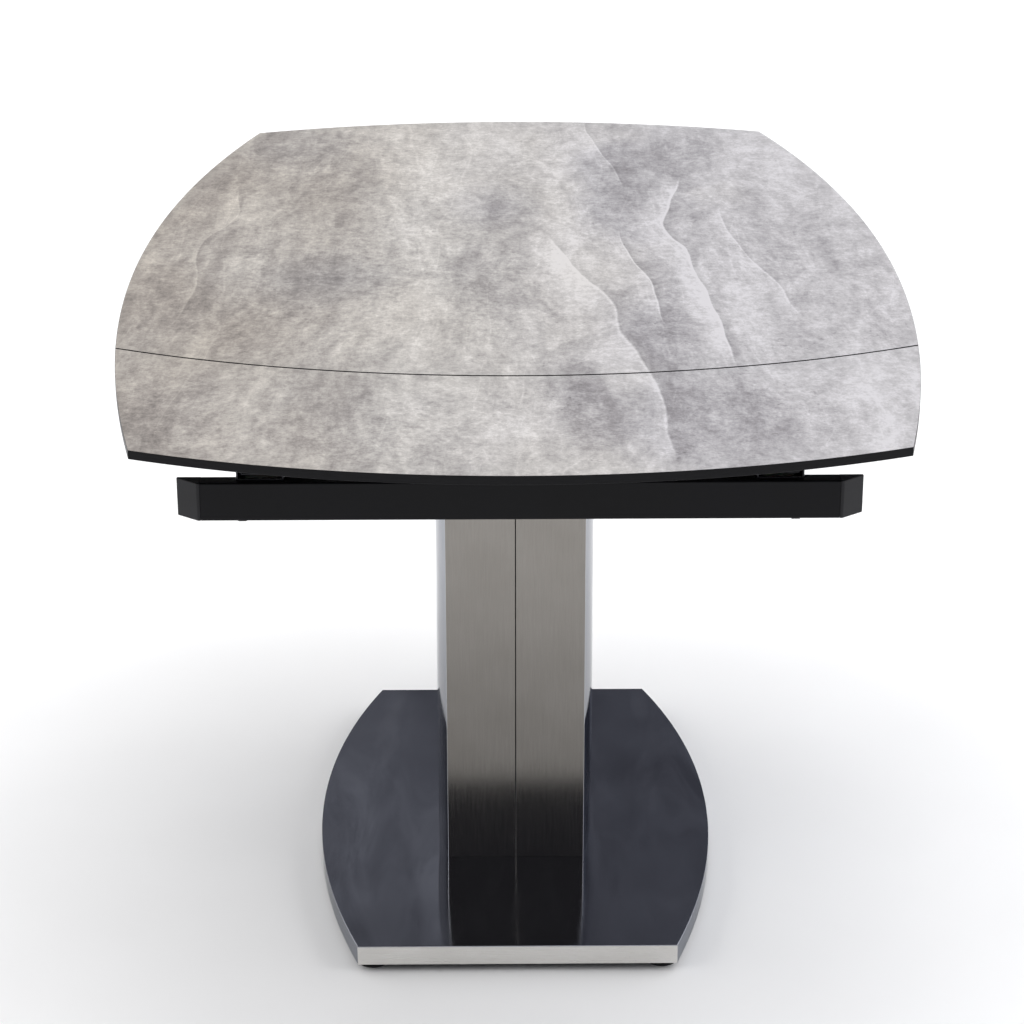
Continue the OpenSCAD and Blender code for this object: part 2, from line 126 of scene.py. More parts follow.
powder_coat = surface("satin_black_powder_coat", "#101012", roughness=0.46, Specular_IOR_Level=0.12)
place = add(powder_coat, "TexCoord").outputs["Object"]
peel = add(powder_coat, "TexNoise", {"Scale": per_metre(1.6), "Detail": 2.0}, {"Vector": place})
handling = add(powder_coat, "TexNoise", {"Scale": per_metre(90), "Detail": 4.0}, {"Vector": place})
gloss = add(powder_coat, "MapRange", {"From Min": 0.35, "From Max": 0.68, "To Min": 0.34, "To Max": 0.5},
            {"Value": handling.outputs["Fac"]})
tone = add(powder_coat, "ValToRGB", {"stops": [(0.3, "#0d0d0f"), (0.7, "#151518")]},
           {"Fac": handling.outputs["Fac"]})
bump = add(powder_coat, "Bump", {"Strength": 0.25, "Distance": 0.04 * MM}, {"Height": peel.outputs["Fac"]})
feed(powder_coat, Base_Color=tone.outputs["Color"], Roughness=gloss.outputs["Result"],
     Normal=bump.outputs["Normal"])

slot_of = {row["node"]: row["material_slot"] for row in frame["record"]["subparts"]}


def finished(name, shape, materials, body, slot, *nodes):
    """Makes a bmesh into a named piece that rides on a body and stands for the CAD nodes given."""
    bmesh.ops.remove_doubles(shape, verts=shape.verts, dist=TOUCHING)
    bmesh.ops.recalc_face_normals(shape, faces=shape.faces)
    mesh = bpy.data.meshes.new(name)
    shape.to_mesh(mesh)
    shape.free()
    mesh.shade_smooth()
    mesh.set_sharp_from_angle(angle=math.radians(47))
    for material in materials:
        mesh.materials.append(material)
    piece = bpy.data.objects.new(name, mesh)
    bpy.context.scene.collection.objects.link(piece)
    flats = piece.modifiers.new("flat faces stay flat", "WEIGHTED_NORMAL")
    flats.keep_sharp = True
    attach(piece, body)
    if nodes:
        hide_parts(*nodes)
    return piece


def ease(shape, edges, radius_mm, segments=2):
    """Rounds edges as a file, a press or a mould leaves them."""
    bmesh.ops.bevel(shape, geom=edges, offset=radius_mm * MM, offset_type="OFFSET", segments=segments,
                    profile=0.5, affect="EDGES", clamp_overlap=True, material=-1)


def sharp_edges(shape, angle=30):
    """The edges where two faces meet at more than an angle in degrees."""
    return [e for e in shape.edges if len(e.link_faces) == 2 and e.calc_face_angle() > math.radians(angle)]


def merged(*nodes):
    """The solids of CAD nodes as one bmesh, with their triangles joined back into flat faces."""
    shape = bmesh.new()
    for name in nodes:
        shape.from_mesh(frame["nodes"][name].data)
    bmesh.ops.remove_doubles(shape, verts=shape.verts, dist=TOUCHING)
    bmesh.ops.dissolve_limit(shape, angle_limit=math.radians(0.5), verts=shape.verts, edges=shape.edges)
    return shape


def eased_copy(name, node, material, radius_mm, segments=2):
    """A CAD node's own shape with its sharp edges rounded, made into a finished piece."""
    shape = merged(node)
    ease(shape, sharp_edges(shape), radius_mm, segments)
    return finished(name, shape, [material], frame["nodes"][node]["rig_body"], slot_of[node], node)


eased_copy("base_bottom_plate", "base_under_plate", powder_coat, radius_mm=0.3)

# ---------------------------------------------------------------------------------------------------
# Ballast and core of the base
# A flame-cut 8 mm steel plate, grey primed, is the weight that keeps the table from tipping. A moulded
# fibreboard core lies on it and backs the thin steel skin, so that the skin can't ring or dent.

primer = surface("grey_primed_steel", "#55585c", roughness=0.62)
place = add(primer, "TexCoord").outputs["Object"]
scale = add(primer, "TexNoise", {"Scale": per_metre(14), "Detail": 5.0, "Roughness": 0.6}, {"Vector": place})
tone = add(primer, "ValToRGB", {"stops": [(0.35, "#484b4f"), (0.7, "#606368")]},
           {"Fac": scale.outputs["Fac"]})
bump = add(primer, "Bump", {"Strength": 0.3, "Distance": 0.1 * MM}, {"Height": scale.outputs["Fac"]})
feed(primer, Base_Color=tone.outputs["Color"], Normal=bump.outputs["Normal"])


def pressed_board(name, dark, middle, pale):
    """Fibreboard: pressed wood fibre shows as short flecks in an even ground, with a felted surface."""
    board = surface(name, middle, roughness=0.85)
    place = add(board, "TexCoord").outputs["Object"]
    fibres = add(board, "TexNoise", {"Scale": per_metre(3), "Detail": 5.0, "Distortion": 0.8},
                 {"Vector": place})
    tone = add(board, "ValToRGB", {"stops": [(0.3, dark), (0.5, middle), (0.7, pale)]},
               {"Fac": fibres.outputs["Fac"]})
    bump = add(board, "Bump", {"Strength": 0.4, "Distance": 0.1 * MM}, {"Height": fibres.outputs["Fac"]})
    feed(board, Base_Color=tone.outputs["Color"], Normal=bump.outputs["Normal"])
    return board


fibreboard = pressed_board("raw_fibreboard", "#8d6f4b", "#a98a63", "#bb9d76")
# Painted shade: a near-black copy of the fibreboard for the column's formers, so the joint that shows them
# reads dark.
former_board_painted_shade = pressed_board("fibreboard_painted_black_as_shade", "#141312", "#1e1c1a", "#292623")


def finish_node(node, material):
    """Gives a CAD node whose shape is right its material."""
    mesh = frame["nodes"][node].data
    mesh.materials.clear()
    mesh.materials.append(material)


finish_node("base_weight_plate", primer)
finish_node("base_core_board", fibreboard)

# ---------------------------------------------------------------------------------------------------
# Top skin of the base
# A 1.2 mm stainless sheet, mirror polished and laid over the core. It shows the room upside down, with
# soft wiping smears, hair scratches and the faint wave of thin sheet. Its edge is eased by a buff.

BASE_SIDE_R = 1.107
ARC_STEPS = 72


def mirror_steel(name, colour, roughness, wave_mm):
    """Polished stainless: smears change its gloss, and thin sheet waves a little over a hand's width."""
    steel = surface(name, colour, roughness=roughness, metallic=1.0, Specular_Tint=linear("#b4b5b8"))
    place = add(steel, "TexCoord").outputs["Object"]
    streaked = add(steel, "Mapping", {"Scale": (1.0, 0.22, 0.35)}, {"Vector": place}).outputs["Vector"]
    smears = add(steel, "TexNoise", {"Scale": per_metre(60), "Detail": 6.0, "Roughness": 0.62,
                                     "Distortion": 0.9}, {"Vector": streaked})
    gloss = add(steel, "MapRange", {"From Min": 0.4, "From Max": 0.7, "To Min": roughness * 0.7,
                                    "To Max": roughness * 2.6}, {"Value": smears.outputs["Fac"]})
    tone = add(steel, "MixRGB", {"blend_type": "MULTIPLY", "Color1": linear(colour)},
               {"Fac": smears.outputs["Fac"]})
    tone.inputs["Color2"].default_value = linear("#d3d5dc")
    hair = add(steel, "Mapping", {"Scale": (1.0, 0.05, 0.05), "Rotation": (0.0, 0.0, 0.5)}, {"Vector": place})
    scratches = add(steel, "TexNoise", {"Scale": per_metre(2.5), "Detail": 2.0},
                    {"Vector": hair.outputs["Vector"]})
    few = add(steel, "MapRange", {"From Min": 0.68, "From Max": 0.74, "To Min": 0.0, "To Max": 1.0},
              {"Value": scratches.outputs["Fac"]})
    wave = add(steel, "TexNoise", {"Scale": per_metre(190), "Detail": 1.0}, {"Vector": place})
    rolled = add(steel, "Bump", {"Strength": 0.6, "Distance": wave_mm * MM}, {"Height": wave.outputs["Fac"]})
    bump = add(steel, "Bump", {"Strength": 0.08, "Distance": 0.03 * MM},
               {"Height": few.outputs["Result"], "Normal": rolled.outputs["Normal"]})
    feed(steel, Base_Color=tone.outputs["Color"], Roughness=gloss.outputs["Result"],
         Normal=bump.outputs["Normal"])
    return steel


# Painted shade: the base top's polished stainless is given a darker colour than the same steel on the
# column's sides and the base's side bands.
base_mirror_painted_shade = mirror_steel("mirror_polished_stainless_painted_darker", "#bfc0c6", roughness=0.08, wave_mm=4.0)


def stretch(shape, start, end, centre, height):
    """One stretch of an outline: straight where centre is None, or else an arc spun about its centre."""
    first = shape.verts.new((*start, height))
    if centre is None:
        shape.edges.new((first, shape.verts.new((*end, height))))
        return
    from_angle, to_angle = (math.atan2(p[1] - centre[1], p[0] - centre[0]) for p in (start, end))
    sweep = (to_angle - from_angle + math.pi) % math.tau - math.pi
    bmesh.ops.spin(shape, geom=[first], cent=(*centre, height), axis=(0, 0, 1), angle=sweep,
                   steps=ARC_STEPS, use_merge=False, use_duplicate=False)


def plate(stretches, low, high):
    """A flat plate between two heights, with an outline made of stretches that follow each other round."""
    shape = bmesh.new()
    for start, end, centre in stretches:
        stretch(shape, start, end, centre, low)
    bmesh.ops.remove_doubles(shape, verts=shape.verts, dist=0.02 * MM)
    bmesh.ops.contextual_create(shape, geom=shape.edges[:])
    raised = bmesh.ops.extrude_face_region(shape, geom=shape.faces[:])
    corners = [v for v in raised["geom"] if isinstance(v, bmesh.types.BMVert)]
    bmesh.ops.translate(shape, verts=corners, vec=(0, 0, high - low))
    return shape


def rim(shape, height):
    """The edges of a plate that lie at one height."""
    return [e for e in shape.edges if all(abs(v.co.z - height) < TOUCHING for v in e.verts)]


def bulged_corner(half_width, side_r, half_length):
    """Half the width, at its ends, of a plate whose long sides are arcs."""
    return half_width - side_r + math.sqrt(side_r ** 2 - half_length ** 2)


low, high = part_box("base_top_skin")
half_w, half_l = high.x, high.y
end_w = bulged_corner(half_w, BASE_SIDE_R, half_l)
left_centre = (BASE_SIDE_R - half_w, 0)
right_centre = (half_w - BASE_SIDE_R, 0)
skin = plate([((end_w, -half_l), (end_w, half_l), right_centre), ((end_w, half_l), (-end_w, half_l), None),
              ((-end_w, half_l), (-end_w, -half_l), left_centre),
              ((-end_w, -half_l), (end_w, -half_l), None)], low.z, high.z)
ease(skin, rim(skin, high.z), 0.5, segments=3)
finished("base_polished_top", skin, [base_mirror_painted_shade], "root", slot_of["base_top_skin"], "base_top_skin")

# ---------------------------------------------------------------------------------------------------
# Edge bands of the base
# Stainless strip 1.2 mm thick, bent round the sides and glued to the core. The two end bands are
# brushed along their length and look bright: their steel is given a lighter colour than the column's
# brushed strips, as painted light. The two side bands are polished like the column's sides.


def brushed_steel(name, colour, grain, roughness, spread):
    """Brushed stainless: hairlines much longer than they are wide, which blur reflections one way."""
    steel = surface(name, colour, roughness=roughness, metallic=1.0)
    place = add(steel, "TexCoord").outputs["Object"]
    lines = add(steel, "Mapping", {"Scale": grain}, {"Vector": place}).outputs["Vector"]
    hair = add(steel, "TexNoise", {"Scale": per_metre(0.9), "Detail": 5.0, "Roughness": 0.7},
               {"Vector": lines})
    broad = add(steel, "TexNoise", {"Scale": per_metre(70), "Detail": 4.0}, {"Vector": place})
    gloss = add(steel, "MapRange", {"From Min": 0.3, "From Max": 0.7, "To Min": roughness - spread,
                                    "To Max": roughness + spread}, {"Value": hair.outputs["Fac"]})
    tone = add(steel, "MixRGB", {"blend_type": "MULTIPLY", "Color1": linear(colour)},
               {"Fac": hair.outputs["Fac"]})
    tone.inputs["Color2"].default_value = linear("#e2e1df")
    cloudy = add(steel, "MixRGB", {"blend_type": "MULTIPLY"},
                 {"Fac": broad.outputs["Fac"], "Color1": tone.outputs["Color"]})
    cloudy.inputs["Color2"].default_value = linear("#e9e8e6")
    bump = add(steel, "Bump", {"Strength": 0.06, "Distance": 0.02 * MM}, {"Height": hair.outputs["Fac"]})
    feed(steel, Base_Color=cloudy.outputs["Color"], Roughness=gloss.outputs["Result"],
         Normal=bump.outputs["Normal"])
    return steel


# Painted light: the end bands' brushed stainless has a lighter colour than the column's brushed strips.
end_band_steel_painted_light = brushed_steel("brushed_stainless_painted_lighter", "#eeedeb", grain=(0.02, 1.0, 1.0), roughness=0.3,
                           spread=0.06)
side_mirror = mirror_steel("mirror_polished_stainless", "#dddfe1", roughness=0.06, wave_mm=2.5)
for node, name in (("base_front_band", "base_front_edge"), ("base_rear_band", "base_rear_edge")):
    eased_copy(name, node, end_band_steel_painted_light, radius_mm=0.35)

front_band_low, front_band_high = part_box("base_front_band")
SKIN_T = front_band_high.y - front_band_low.y
band_low, band_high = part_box("base_left_band")
band_y = band_high.y
outer_x = bulged_corner(half_w, BASE_SIDE_R, band_y)
inner_x = bulged_corner(half_w - SKIN_T, BASE_SIDE_R - SKIN_T, band_y)


def bent_strip(half_height_y, x_out, x_in, centre_x, low_z, high_z):
    """A thin strip bent along an arc on the -X side, standing between two heights."""
    return plate([((-x_out, half_height_y), (-x_out, -half_height_y), (centre_x, 0)),
                  ((-x_out, -half_height_y), (-x_in, -half_height_y), None),
                  ((-x_in, -half_height_y), (-x_in, half_height_y), (centre_x, 0)),
                  ((-x_in, half_height_y), (-x_out, half_height_y), None)], low_z, high_z)


def mirrored(shape):
    """Turns a shape of the -X side into its partner on the +X side."""
    bmesh.ops.scale(shape, vec=(-1, 1, 1), verts=shape.verts)
    return shape


for node, name in (("base_left_band", "base_left_edge"), ("base_right_band", "base_right_edge")):
    band = bent_strip(band_y, outer_x, inner_x, BASE_SIDE_R - half_w, band_low.z, band_high.z)
    ease(band, sharp_edges(band), 0.35)
    if node == "base_right_band":
        mirrored(band)
    finished(name, band, [side_mirror], "root", slot_of[node], node)

# ---------------------------------------------------------------------------------------------------
# Levelling feet
# Each foot is a knurled disc on an M10 stem that screws in a zinc plated sleeve, over a rubber pad with
# ring grooves that grip the floor. Disc and stem are blacked like the frame.

zinc = surface("bright_zinc_plate", "#b9bdc1", roughness=0.3, metallic=1.0)
place = add(zinc, "TexCoord").outputs["Object"]
bloom = add(zinc, "TexNoise", {"Scale": per_metre(22), "Detail": 5.0, "Roughness": 0.6}, {"Vector": place})
tone = add(zinc, "ValToRGB", {"stops": [(0.3, "#a5a9b0"), (0.55, "#b9bdc1"), (0.75, "#c5c3b8")]},
           {"Fac": bloom.outputs["Fac"]})
gloss = add(zinc, "MapRange", {"To Min": 0.22, "To Max": 0.42}, {"Value": bloom.outputs["Fac"]})
feed(zinc, Base_Color=tone.outputs["Color"], Roughness=gloss.outputs["Result"])

# Moulded rubber: matt, nearly black, with a fine blasted grain from its mould.
rubber = surface("moulded_rubber", "#18181a", roughness=0.72)
place = add(rubber, "TexCoord").outputs["Object"]
grain = add(rubber, "TexNoise", {"Scale": per_metre(0.7), "Detail": 3.0}, {"Vector": place})
dust = add(rubber, "TexNoise", {"Scale": per_metre(18), "Detail": 4.0}, {"Vector": place})
tone = add(rubber, "ValToRGB", {"stops": [(0.35, "#141416"), (0.7, "#202022")]}, {"Fac": dust.outputs["Fac"]})
bump = add(rubber, "Bump", {"Strength": 0.4, "Distance": 0.06 * MM}, {"Height": grain.outputs["Fac"]})
feed(rubber, Base_Color=tone.outputs["Color"], Normal=bump.outputs["Normal"])


def turned(profile_mm, x, y, steps=48):
    """A round part about an upright axis at (x, y), spun from a profile of (radius, height) points."""
    shape = bmesh.new()
    points = [shape.verts.new((r * MM, 0, z * MM)) for r, z in profile_mm]
    edges = [shape.edges.new(pair) for pair in zip(points, points[1:])]
    bmesh.ops.spin(shape, geom=points + edges, cent=(0, 0, 0), axis=(0, 0, 1), angle=math.tau, steps=steps,
                   use_merge=True, use_duplicate=False)
    bmesh.ops.remove_doubles(shape, verts=shape.verts, dist=TOUCHING)
    bmesh.ops.translate(shape, verts=shape.verts, vec=(x, y, 0))
    return shape


PAD_R = 19.0
PAD_PROFILE = [(0, 0.6), (5, 0.6), (5.4, 0), (8.6, 0), (9, 0.6), (11, 0.6), (11.4, 0), (14.6, 0), (15, 0.6),
               (16.4, 0.6), (16.8, 0), (PAD_R - 0.8, 0), (PAD_R, 0.8), (PAD_R, 2.2), (PAD_R - 0.8, 3), (0, 3)]
DISC_R = 17.0
STEM_R = 5.0
STEM_TOP = 28.0
ROOT_R = 4.35
THREAD_LOW = 10.1
THREAD_PITCH = 1.5
THREAD_TURNS = 11
DISC_PROFILE = [(0, 3), (DISC_R - 0.8, 3), (DISC_R, 3.8), (DISC_R, 8.9), (DISC_R - 0.8, 9.7), (STEM_R, 9.7)]
KNURLS = 60
thread = [(r, THREAD_LOW + THREAD_PITCH * turn + step) for turn in range(THREAD_TURNS) for r, step in
          ((STEM_R, 0.0), (STEM_R, 0.15), (ROOT_R, 0.65), (ROOT_R, 0.85), (STEM_R, 1.35))]
stem_profile = DISC_PROFILE + thread + [(STEM_R - 0.8, STEM_TOP), (0, STEM_TOP)]

for foot in ("front_left", "front_right", "rear_left", "rear_right"):
    pad_low, pad_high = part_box("foot_pad_" + foot)
    foot_x = (pad_low.x + pad_high.x) / 2
    foot_y = (pad_low.y + pad_high.y) / 2
    pad = turned(PAD_PROFILE, foot_x, foot_y, steps=64)
    finished("foot_pad_ring_" + foot, pad, [rubber], "foot_" + foot, "rubber", "foot_pad_" + foot)
    stem = turned(stem_profile, foot_x, foot_y, steps=2 * KNURLS)
    for vert in stem.verts:
        out = Vector((vert.co.x - foot_x, vert.co.y - foot_y))
        turn = math.atan2(out.y, out.x) / math.tau * 2 * KNURLS
        if out.length > (DISC_R - 0.1) * MM and round(turn) % 2:
            vert.co.xy = Vector((foot_x, foot_y)) + out * (1 - 0.5 / DISC_R)
    finished("foot_screw_" + foot, stem, [powder_coat], "foot_" + foot, "black_steel", "foot_stem_" + foot)

eased_copy("foot_thread_sleeves", "foot_sleeves", zinc, radius_mm=0.3)

# ---------------------------------------------------------------------------------------------------
# Column tube, flange, head plate and formers
# A 120 by 140 mm steel tube carries the load. It is welded to a foot flange, bolted down through the
# base, and to a head plate under the frame. Three board formers hold the outer sheets off the tube; their
# board is painted near black as painted shade, so the joint between the front strips shows dark.

for node in ("column_tube", "column_foot_flange"):
    finish_node(node, primer)
finish_node("column_formers", former_board_painted_shade)
HEAD_CORNER_R = 12
head = merged("column_head_plate")
corners = [e for e in head.edges if abs(e.verts[0].co.z - e.verts[1].co.z) > 1 * MM and
           min(abs(e.verts[0].co.x), abs(e.verts[0].co.y)) > 100 * MM and e.calc_face_angle(0) > 1]
ease(head, corners, HEAD_CORNER_R, segments=8)
ease(head, sharp_edges(head, 60), 0.5)
finished("head_plate", head, [powder_coat], "root", "black_steel", "column_head_plate")

# ---------------------------------------------------------------------------------------------------
# Column bolts
# Eight M10 hexagon bolts with washers: four hold the foot flange to the ballast, four hold the cross
# beams to the head plate. The heads are cold forged, with a chamfer that rounds their six corners.

# Two rows of four, in mm: the face the heads stand on, x, y, 1 for up or -1 for down, and the shank
bolt_rows = ((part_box("column_foot_flange")[1].z / MM, 55, 100, 1, 28),
             (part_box("column_head_plate")[0].z / MM, 100, 115, -1, 24))
HEX_R = 9.2
HEAD_T = 6.4
WASHER_T = 1.6


def hex_bolt(seat_mm, x_mm, y_mm, way, shank_mm):
    """A hexagon bolt with its washer. The head stands on the seat, and way is 1 for up or -1 for down."""
    shape = bmesh.new()
    bmesh.ops.create_cone(shape, cap_ends=True, segments=6, radius1=HEX_R * MM, radius2=HEX_R * MM,
                          depth=(HEAD_T - WASHER_T) * MM)
    bmesh.ops.translate(shape, verts=shape.verts, vec=(0, 0, (HEAD_T + WASHER_T) / 2 * MM))
    crown = [v for v in shape.verts if v.co.z > (HEAD_T - 0.1) * MM]
    top = next(f for f in shape.faces if all(v in crown for v in f.verts))
    ease(shape, list(top.edges), 0.9, segments=2)
    for radius, low_mm, high_mm, sides in ((10.2, 0, WASHER_T, 32), (5.0, -shank_mm, 0.01, 24)):
        ring = bmesh.ops.create_cone(shape, cap_ends=True, segments=sides, radius1=radius * MM,
                                     radius2=radius * MM, depth=(high_mm - low_mm) * MM)["verts"]
        bmesh.ops.translate(shape, verts=ring, vec=(0, 0, (low_mm + high_mm) / 2 * MM))
        outer = {e for v in ring for e in v.link_edges if abs(e.verts[0].co.z - e.verts[1].co.z) < 1e-6}
        ease(shape, list(outer), 0.3)
    bmesh.ops.scale(shape, vec=(1, 1, way), verts=shape.verts)
    bmesh.ops.translate(shape, verts=shape.verts, vec=(x_mm * MM, y_mm * MM, seat_mm * MM))
    return shape


def gathered(shapes):
    """Several bmeshes as one."""
    whole = bmesh.new()
    for shape in shapes:
        bmesh.ops.recalc_face_normals(shape, faces=shape.faces)
        part = bpy.data.meshes.new("part")
        shape.to_mesh(part)
        shape.free()
        whole.from_mesh(part)
        bpy.data.meshes.remove(part)
    return whole


bolts = [hex_bolt(seat, sx * x, sy * y, way, shank) for seat, x, y, way, shank in bolt_rows
         for sx in (-1, 1) for sy in (-1, 1)]
finished("column_hex_bolts", gathered(bolts), [zinc], "root", "zinc_steel", "column_bolts")

# ---------------------------------------------------------------------------------------------------
# Column sheets
# The column is dressed in 1.2 mm stainless. Its flat front and rear are two brushed strips each, with a
# 1 mm joint on the middle line; its bulging sides are mirror polished and show the floor and the base.

# Painted shade: these brushed strips are given a much darker colour than the same brushed stainless of the
# base's end bands.
column_front = brushed_steel("satin_brushed_stainless_painted_darker", "#8f8c88", grain=(1.0, 1.0, 0.03), roughness=0.2,
                             spread=0.04)
for node, name in (("column_front_strip_left", "column_front_left_sheet"),
                   ("column_front_strip_right", "column_front_right_sheet"),
                   ("column_rear_strips", "column_rear_sheets")):
    eased_copy(name, node, column_front, radius_mm=0.45, segments=3)

panel_low, panel_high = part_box("column_left_panel")
column_half_w = -panel_low.x
panel_y = panel_high.y
front_half_w = 83 * MM
bulge = column_half_w - front_half_w
column_r = ((panel_y + SKIN_T) ** 2 + bulge ** 2) / (2 * bulge)
outer_x = bulged_corner(column_half_w, column_r, panel_y)
inner_x = bulged_corner(column_half_w - SKIN_T, column_r - SKIN_T, panel_y)
for node, name in (("column_left_panel", "column_left_bulge"), ("column_right_panel", "column_right_bulge")):
    panel = bent_strip(panel_y, outer_x, inner_x, column_r - column_half_w, panel_low.z, panel_high.z)
    ease(panel, sharp_edges(panel), 0.4, segments=3)
    if node == "column_right_panel":
        mirrored(panel)
    finished(name, panel, [side_mirror], "root", slot_of[node], node)

# ---------------------------------------------------------------------------------------------------
# Frame
# Welded from steel tube with rolled corners: two side rails and two cross beams of 40 by 38 mm, and two
# end beams of 20 by 38 mm. It is powder coated as one piece, over small welds where the tubes meet.


def eased_tube(name, node, axis, material, radius_mm):
    """A tube node with only its long edges rounded, as a tube mill leaves them."""
    shape = merged(node)
    long_edges = [e for e in sharp_edges(shape, 60)
                  if abs((e.verts[1].co - e.verts[0].co).normalized()[axis]) > 0.999
                  and e.calc_length() > 200 * MM]
    ease(shape, long_edges, radius_mm, segments=4)
    return finished(name, shape, [material], "root", slot_of[node], node)


eased_tube("end_beams", "frame_end_beams", 0, powder_coat, radius_mm=1.7)
eased_tube("side_rails", "frame_side_rails", 1, powder_coat, radius_mm=1.7)
eased_tube("cross_beams", "frame_cross_beams", 0, powder_coat, radius_mm=1.7)

rails_low, rails_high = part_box("frame_side_rails")
cross_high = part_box("frame_cross_beams")[1]
CROSS_TUBE = 40 * MM
WELD_MM = 3.0
WELD_SCALES = 14


def weld(x, y, lean):
    """A fillet weld bead that stands in the upright corner at (x, y), a run of small overlapping scales."""
    shape = bmesh.new()
    height = rails_high.z - rails_low.z - 2 * WELD_MM * MM
    for i in range(WELD_SCALES):
        scale = bmesh.ops.create_icosphere(shape, subdivisions=2, radius=WELD_MM * 0.62 * MM)["verts"]
        bmesh.ops.scale(shape, vec=(1, 1, 0.8), verts=scale)
        z = rails_low.z + WELD_MM * MM + height * (i + 0.5) / WELD_SCALES
        bmesh.ops.translate(shape, verts=scale, vec=(x + lean[0] * 0.4 * MM, y + lean[1] * 0.4 * MM, z))
    return shape


rail_in = cross_high.x
rail_out = rails_high.x
beam_in = rails_high.y
beads = [weld(sx * x, sy * y, (sx * dx, -sy * dy))
         for x, y, dx, dy in ((rail_in, beam_in, -1, 1), (rail_out, beam_in, 1, 1),
                              (rail_in, cross_high.y, -1, -1), (rail_in, cross_high.y - CROSS_TUBE, -1, 1))
         for sx in (-1, 1) for sy in (-1, 1)]
finished("frame_weld_beads", gathered(beads), [powder_coat], "root", "black_steel")

# ---------------------------------------------------------------------------------------------------
# End caps of the beams
# Moulded black plastic caps close the end beams. Each has a plug that is pressed into the tube and one
# corner cut off at a slant. The mould gives them a fine even grain and eased edges.

plastic = surface("grained_black_plastic", "#131316", roughness=0.46, Specular_IOR_Level=0.25)
place = add(plastic, "TexCoord").outputs["Object"]
spark = add(plastic, "TexNoise", {"Scale": per_metre(0.8), "Detail": 3.0}, {"Vector": place})
handled = add(plastic, "TexNoise", {"Scale": per_metre(35), "Detail": 3.0}, {"Vector": place})
gloss = add(plastic, "MapRange", {"To Min": 0.38, "To Max": 0.56}, {"Value": handled.outputs["Fac"]})
tone = add(plastic, "ValToRGB", {"stops": [(0.35, "#101013"), (0.7, "#19191d")]},
           {"Fac": handled.outputs["Fac"]})
bump = add(plastic, "Bump", {"Strength": 0.3, "Distance": 0.05 * MM}, {"Height": spark.outputs["Fac"]})
feed(plastic, Base_Color=tone.outputs["Color"], Roughness=gloss.outputs["Result"],
     Normal=bump.outputs["Normal"])
eased_copy("beam_end_caps", "frame_end_caps", plastic, radius_mm=1.1, segments=3)

# ---------------------------------------------------------------------------------------------------
# Telescopic runners
# Roll-formed steel channels, blacked and oiled: a fixed outer on each rail, a middle member inside it and
# an inner bar inside that. They slide on clipped-in nylon pads, and a rubber buffer stops them behind.

blacked = surface("blacked_oiled_steel", "#222327", roughness=0.3, metallic=0.6)
place = add(blacked, "TexCoord").outputs["Object"]
drawn = add(blacked, "Mapping", {"Scale": (1.0, 0.04, 1.0)}, {"Vector": place}).outputs["Vector"]
rolled = add(blacked, "TexNoise", {"Scale": per_metre(2), "Detail": 4.0}, {"Vector": drawn})
oil = add(blacked, "TexNoise", {"Scale": per_metre(28), "Detail": 4.0}, {"Vector": place})
tone = add(blacked, "ValToRGB", {"stops": [(0.3, "#1a1b1e"), (0.7, "#2c2d31")]},
           {"Fac": rolled.outputs["Fac"]})
gloss = add(blacked, "MapRange", {"To Min": 0.22, "To Max": 0.4}, {"Value": oil.outputs["Fac"]})
feed(blacked, Base_Color=tone.outputs["Color"], Roughness=gloss.outputs["Result"])

for node, name in (("runner_outers", "fixed_runners"), ("runner_mid_left", "middle_runner_left"),
                   ("runner_mid_right", "middle_runner_right"), ("runner_inners", "inner_runners")):
    eased_copy(name, node, blacked, radius_mm=0.4)
eased_copy("runner_rear_buffers", "runner_buffers", rubber, radius_mm=1.6, segments=4)

# Natural nylon: milky off-white that lets a little light in, worn smooth by sliding.
nylon = surface("natural_nylon", "#dcd8cb", roughness=0.4, Subsurface_Weight=0.15, Subsurface_Scale=0.003)
place = add(nylon, "TexCoord").outputs["Object"]
milk = add(nylon, "TexNoise", {"Scale": per_metre(9), "Detail": 3.0}, {"Vector": place})
tone = add(nylon, "ValToRGB", {"stops": [(0.3, "#d3cebf"), (0.7, "#e4e1d6")]}, {"Fac": milk.outputs["Fac"]})
feed(nylon, Base_Color=tone.outputs["Color"])
for node, name in (("runner_glides_left", "glide_pads_left"), ("runner_glides_right", "glide_pads_right"),
                   ("runner_inner_glides", "glide_pads_inner")):
    eased_copy(name, node, nylon, radius_mm=0.25)

SCREW_HEAD = [(0, 1.1), (3.2, 1.5), (4.6, 0.9), (5.0, 0.2), (5.0, 0), (2.5, 0), (2.5, -9), (0, -10)]
RECESS = Vector((4.2, 0.9, 0.5))
RECESS_Z = 1.3


def pan_screw(x, y, z, way):
    """A pan-head screw with a cross recess. Its head stands on z, and way is 1 for up or -1 for down."""
    shape = turned(SCREW_HEAD, 0, 0, steps=20)
    for turn in (0, 1):
        cut = bmesh.ops.create_cube(shape, size=1.0)["verts"]
        bmesh.ops.scale(shape, vec=RECESS * MM, verts=cut)
        bmesh.ops.rotate(shape, verts=cut, matrix=Matrix.Rotation(turn * math.pi / 2, 3, "Z"))
        bmesh.ops.translate(shape, verts=cut, vec=(0, 0, RECESS_Z * MM))
    bmesh.ops.scale(shape, vec=(1, 1, way), verts=shape.verts)
    bmesh.ops.translate(shape, verts=shape.verts, vec=(x, y, z))
    return shape


screw_low, screw_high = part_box("runner_screws")
rail_x = (rails_high.x + cross_high.x) / 2
screw_seat = screw_high.z - 1.5 * MM
screws = [pan_screw(sx * rail_x, y, screw_seat, 1) for sx in (-1, 1)
          for y in (screw_low.y + 5 * MM, screw_high.y - 5 * MM)]
finished("runner_pan_screws", gathered(screws), [zinc], "root", "zinc_steel", "runner_screws")

